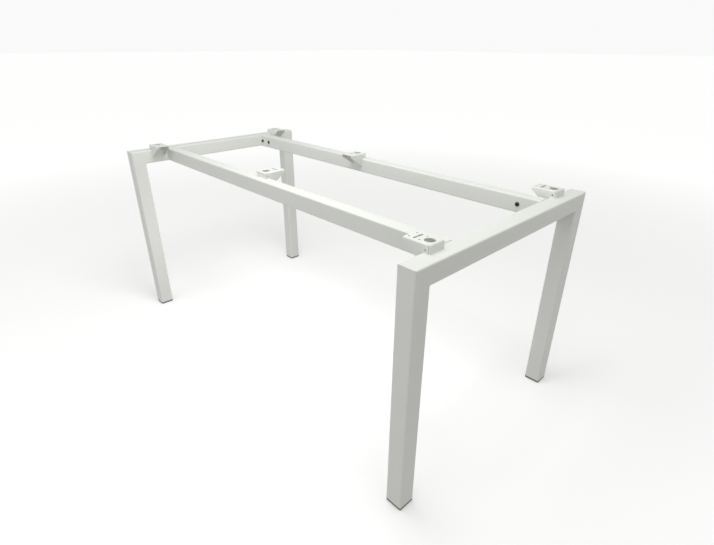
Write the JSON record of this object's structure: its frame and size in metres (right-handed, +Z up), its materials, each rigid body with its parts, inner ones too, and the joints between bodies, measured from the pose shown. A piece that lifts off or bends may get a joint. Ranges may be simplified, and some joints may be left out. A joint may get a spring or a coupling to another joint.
{
  "type": "desk base",
  "caption": "Steel desk base: square tube portal end frames joined by two rails, with folded pierced brackets that carry the desktop clear of the tubes.",
  "frame": {"origin": "on the floor under the middle of the frame", "axes": "+X to the right along the rails, +Y from the front to the back, +Z up"},
  "size_m": [1.5, 0.78, 0.705],
  "materials": {
    "powder_coat": "fine satin powder coat",
    "foot_plastic": "moulded, fine matt grain",
    "black_steel": "black oxide, slightly oiled",
    "bare_steel": "bare pressed steel"
  },
  "bodies": {
    "root": {"left_beam": "powder_coat", "right_beam": "powder_coat", "front_left_leg": "powder_coat", "back_left_leg": "powder_coat", "front_right_leg": "powder_coat", "back_right_leg": "powder_coat", "front_rail": "powder_coat", "back_rail": "powder_coat", "front_left_bracket": "powder_coat", "back_left_bracket": "powder_coat", "front_right_bracket": "powder_coat", "back_right_bracket": "powder_coat", "front_middle_bracket": "powder_coat", "back_middle_bracket": "powder_coat", "front_left_rail_stub": "powder_coat", "back_left_rail_stub": "powder_coat", "front_right_rail_stub": "powder_coat", "back_right_rail_stub": "powder_coat", "front_left_foot": "foot_plastic", "back_left_foot": "foot_plastic", "front_right_foot": "foot_plastic", "back_right_foot": "foot_plastic", "rail_screws": "black_steel", "rail_weld_nuts": "bare_steel"}
  },
  "joints": []
}
